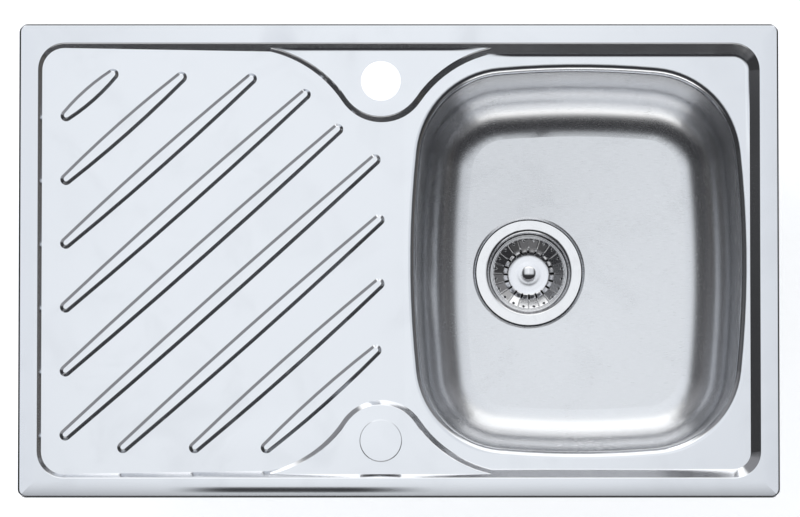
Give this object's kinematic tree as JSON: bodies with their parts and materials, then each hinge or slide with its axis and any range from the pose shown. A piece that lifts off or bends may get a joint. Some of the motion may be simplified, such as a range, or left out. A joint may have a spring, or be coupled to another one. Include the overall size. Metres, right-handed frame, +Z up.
{
  "type": "kitchen sink with drainboard",
  "caption": "Inset stainless steel kitchen sink with one deep bowl, ribbed drainboard, two tap ledges, basket strainer waste and swing clips.",
  "frame": {"origin": "middle of the rim's outline, in the plane of the worktop that the rim's seal lies on", "axes": "+X along the length from the drainboard to the bowl, +Y to the rear, +Z up"},
  "size_m": [0.8, 0.5, 0.26],
  "materials": {
    "deck_steel": "fine satin, bright",
    "bowl_steel": "satin",
    "polished_steel": "polished",
    "clip_steel": "zinc plated",
    "black_rubber": "matt",
    "foam": "closed-cell foam",
    "pad": "matt damping sheet",
    "grey_plastic": "moulded, fine matt",
    "brass": "turned"
  },
  "bodies": {
    "sink": {"deck": "deck_steel", "bowl": "bowl_steel", "rim_seal": "foam", "sound_pad": "pad", "waste_cup": "polished_steel", "flange_gasket": "black_rubber", "body_gasket": "black_rubber", "waste_body": "grey_plastic", "waste_spigot": "grey_plastic", "waste_bridge": "grey_plastic", "waste_insert": "brass", "clamp_screw": "polished_steel", "cap_disc": "deck_steel", "cap_stud": "clip_steel", "cap_seal": "black_rubber", "cap_under_seal": "black_rubber", "cap_plate": "clip_steel", "cap_wing_nut": "clip_steel", "clip_brackets": "clip_steel", "clip_nuts": "clip_steel", "clip_screws": "clip_steel"},
    "basket": {"basket_cup": "polished_steel", "basket_post": "polished_steel", "basket_knob": "polished_steel", "stopper_plate": "polished_steel", "stopper_seal": "black_rubber", "stopper_clip": "clip_steel"},
    "claw_1": {"claw_1": "clip_steel"},
    "claw_2": {"claw_2": "clip_steel"},
    "claw_3": {"claw_3": "clip_steel"},
    "claw_4": {"claw_4": "clip_steel"},
    "claw_5": {"claw_5": "clip_steel"},
    "claw_6": {"claw_6": "clip_steel"},
    "claw_7": {"claw_7": "clip_steel"},
    "claw_8": {"claw_8": "clip_steel"}
  },
  "joints": [
    {"name": "basket_lift", "type": "slide", "parent": "sink", "child": "basket", "axis": [0, 0, 1], "range_m": [0, 0.22]},
    {"name": "claw_1_swing", "type": "hinge", "parent": "sink", "child": "claw_1", "pos_m": [-0.28, 0.223, -0.056], "axis": [0, 0, 1], "range_deg": [0, 90]},
    {"name": "claw_2_swing", "type": "hinge", "parent": "sink", "child": "claw_2", "pos_m": [0.06, 0.223, -0.056], "axis": [0, 0, 1], "range_deg": [0, 90]},
    {"name": "claw_3_swing", "type": "hinge", "parent": "sink", "child": "claw_3", "pos_m": [0.3, 0.223, -0.056], "axis": [0, 0, 1], "range_deg": [0, 90]},
    {"name": "claw_4_swing", "type": "hinge", "parent": "sink", "child": "claw_4", "pos_m": [-0.28, -0.223, -0.056], "axis": [0, 0, 1], "range_deg": [0, 90]},
    {"name": "claw_5_swing", "type": "hinge", "parent": "sink", "child": "claw_5", "pos_m": [0.06, -0.223, -0.056], "axis": [0, 0, 1], "range_deg": [0, 90]},
    {"name": "claw_6_swing", "type": "hinge", "parent": "sink", "child": "claw_6", "pos_m": [0.3, -0.223, -0.056], "axis": [0, 0, 1], "range_deg": [0, 90]},
    {"name": "claw_7_swing", "type": "hinge", "parent": "sink", "child": "claw_7", "pos_m": [-0.373, 0, -0.056], "axis": [0, 0, 1], "range_deg": [0, 90]},
    {"name": "claw_8_swing", "type": "hinge", "parent": "sink", "child": "claw_8", "pos_m": [0.373, 0, -0.056], "axis": [0, 0, 1], "range_deg": [0, 90]}
  ]
}
